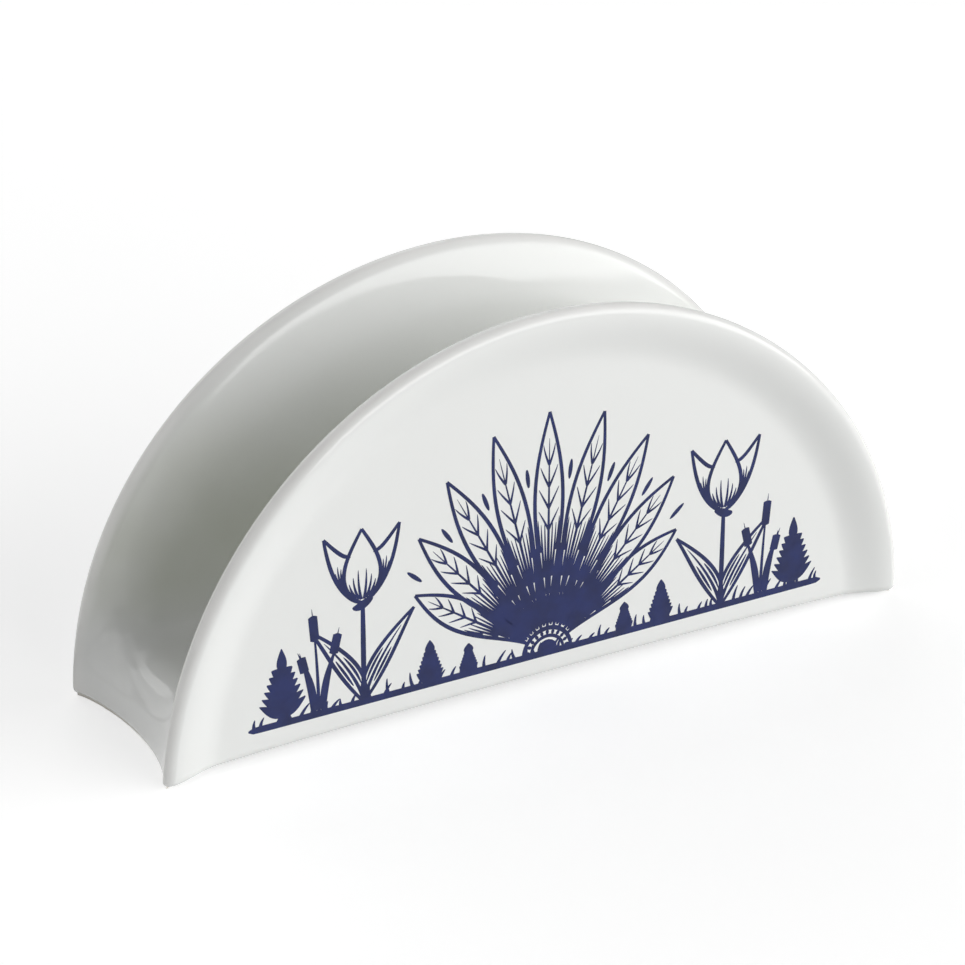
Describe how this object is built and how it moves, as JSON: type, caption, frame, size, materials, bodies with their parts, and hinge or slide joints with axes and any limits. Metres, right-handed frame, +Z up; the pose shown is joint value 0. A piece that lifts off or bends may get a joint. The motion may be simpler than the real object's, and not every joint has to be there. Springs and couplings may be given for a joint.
{
  "type": "napkin holder",
  "caption": "Glazed porcelain napkin holder: dished half-round walls stand on either side of a raised trough with concave end faces, and carry a blue line-drawn print.",
  "frame": {"origin": "middle of the length and depth, on the table the holder stands on", "axes": "+X along the holder, +Y from the front wall to the back wall, +Z up"},
  "size_m": [0.1498, 0.0428, 0.0716],
  "materials": {
    "glaze": "clear gloss glaze over white porcelain",
    "bisque": "bare ground porcelain, matt",
    "cobalt_print": "cobalt blue transfer print fired under the glaze"
  },
  "bodies": {
    "root": {"front_wall": "glaze", "back_wall": "glaze", "trough": "glaze", "left_foot": "bisque", "right_foot": "bisque", "front_print": "cobalt_print", "back_print": "cobalt_print"}
  },
  "joints": []
}
